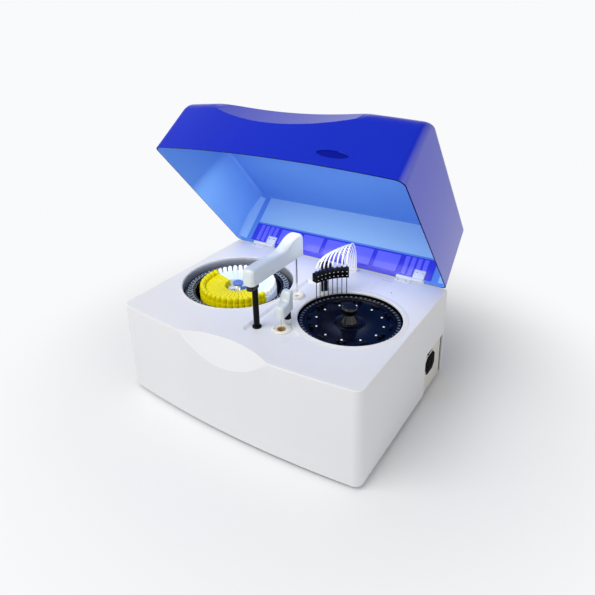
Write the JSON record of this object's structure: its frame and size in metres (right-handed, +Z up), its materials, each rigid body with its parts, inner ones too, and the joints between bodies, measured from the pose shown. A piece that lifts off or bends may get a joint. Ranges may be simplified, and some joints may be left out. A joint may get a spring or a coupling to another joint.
{
  "type": "benchtop chemistry analyzer",
  "caption": "Benchtop analyzer with a hinged clear lid over a reagent carousel, a cuvette carousel, a sampling arm, a stirrer arm and a wash station",
  "frame": {"origin": "middle of the footprint of the analyzer with its lid open, on the surface that its feet stand on", "axes": "+Z up, +Y towards the back where the lid is hinged, +X towards the cuvette carousel and the mains inlet"},
  "size_m": [0.7, 0.6636, 0.7501],
  "materials": {
    "housing": "satin",
    "panel_steel": "satin",
    "zinc_steel": "satin",
    "brushed_steel": "satin",
    "bright_steel": "polished",
    "aluminium": "satin",
    "black_aluminium": "satin",
    "brass": "polished",
    "foot_rubber": "matte",
    "black_plastic": "gloss",
    "navy_plastic": "gloss",
    "white_plastic": "satin",
    "cream_plastic": "satin",
    "yellow_plastic": "satin",
    "blue_plastic": "satin",
    "board_green": "satin",
    "lid_blue": "gloss",
    "pale_blue": "satin",
    "clear_plastic": "gloss"
  },
  "bodies": {
    "housing": {"top_cover": "housing", "base_plate": "zinc_steel", "rear_panel": "panel_steel", "lamp_cover": "housing", "foot_front_left": "foot_rubber", "foot_front_right": "foot_rubber", "foot_rear_left": "foot_rubber", "foot_rear_right": "foot_rubber", "mounting_frame": "zinc_steel", "power_panel": "panel_steel", "power_inlet": "black_plastic", "earth_screw": "brass", "hinge_base_left": "white_plastic", "hinge_base_right": "white_plastic", "hinge_pin_left": "bright_steel", "hinge_pin_right": "bright_steel", "reagent_tub": "brushed_steel", "reaction_bath": "black_plastic", "reagent_motor": "black_plastic", "reaction_motor": "black_plastic", "sample_lift_unit": "aluminium", "sample_column_flange": "black_plastic", "stirrer_lift_unit": "aluminium", "stirrer_boss": "white_plastic", "sample_wash_well": "cream_plastic", "stirrer_wash_well": "cream_plastic", "wash_lift_unit": "aluminium", "wash_flange": "black_plastic", "wash_tubes": "white_plastic", "photometer": "black_plastic", "power_supply": "aluminium", "control_board": "board_green", "syringe_pump": "aluminium"},
    "lid": {"lid_shell": "lid_blue", "lid_rear_panel": "pale_blue", "hinge_leaf_left": "clear_plastic", "hinge_leaf_right": "clear_plastic"},
    "reagent_wheel": {"reagent_carousel": "black_plastic", "sample_cups": "clear_plastic", "yellow_bottles": "yellow_plastic", "clear_bottles": "clear_plastic", "reagent_hub": "bright_steel", "reagent_knob": "blue_plastic"},
    "reaction_wheel": {"reaction_disc": "navy_plastic", "cuvette_ring": "navy_plastic", "reaction_spindle": "zinc_steel", "reaction_knob": "black_plastic"},
    "sample_turn": {"sample_turn_pulley": "aluminium"},
    "sample_arm_body": {"sample_column": "black_aluminium", "sample_arm": "white_plastic", "sample_probe": "bright_steel"},
    "stirrer_turn": {"stirrer_turn_pulley": "aluminium"},
    "stirrer_arm_body": {"stirrer_column": "black_aluminium", "stirrer_arm": "white_plastic"},
    "paddle": {"stirrer_paddle": "bright_steel"},
    "wash_lift": {"wash_column": "black_aluminium", "wash_head": "black_plastic", "wash_needles": "bright_steel"},
    "rocker": {"power_rocker": "black_plastic"},
    "plunger": {"syringe_plunger": "bright_steel"}
  },
  "joints": [
    {"name": "lid_hinge", "type": "hinge", "parent": "housing", "child": "lid", "pos_m": [0, 0.19617, 0.268], "axis": [1, 0, 0], "range_deg": [0, 49.5]},
    {"name": "reagent_wheel_spin", "type": "hinge", "parent": "housing", "child": "reagent_wheel", "pos_m": [-0.1662, -0.04433, 0.2], "axis": [0, 0, 1], "continuous": true},
    {"name": "reaction_wheel_spin", "type": "hinge", "parent": "housing", "child": "reaction_wheel", "pos_m": [0.1944, -0.06003, 0.2], "axis": [0, 0, 1], "continuous": true},
    {"name": "sample_arm_swing", "type": "hinge", "parent": "housing", "child": "sample_turn", "pos_m": [0.0196, -0.20833, 0.2], "axis": [0, 0, 1], "range_deg": [-17.77, 82.13]},
    {"name": "sample_arm_lift", "type": "slide", "parent": "sample_turn", "child": "sample_arm_body", "axis": [0, 0, -1], "range_m": [0, 0.05]},
    {"name": "stirrer_swing", "type": "hinge", "parent": "housing", "child": "stirrer_turn", "pos_m": [0.07301, -0.15234, 0.2], "axis": [0, 0, 1], "range_deg": [0, 100.14]},
    {"name": "stirrer_lift", "type": "slide", "parent": "stirrer_turn", "child": "stirrer_arm_body", "axis": [0, 0, -1], "range_m": [0, 0.022]},
    {"name": "paddle_spin", "type": "hinge", "parent": "stirrer_arm_body", "child": "paddle", "pos_m": [0.07767, -0.18771, 0.28], "axis": [0, 0, 1], "continuous": true},
    {"name": "wash_head_lift", "type": "slide", "parent": "housing", "child": "wash_lift", "axis": [0, 0, -1], "range_m": [0, 0.028], "deforming": ["wash_tubes"]},
    {"name": "power_rocker_tilt", "type": "hinge", "parent": "housing", "child": "rocker", "pos_m": [0.34, 0.09817, 0.12], "axis": [0, 0, 1], "range_deg": [-12, 0]},
    {"name": "syringe_stroke", "type": "slide", "parent": "housing", "child": "plunger", "axis": [0, 0, 1], "range_m": [0, 0.03]}
  ]
}
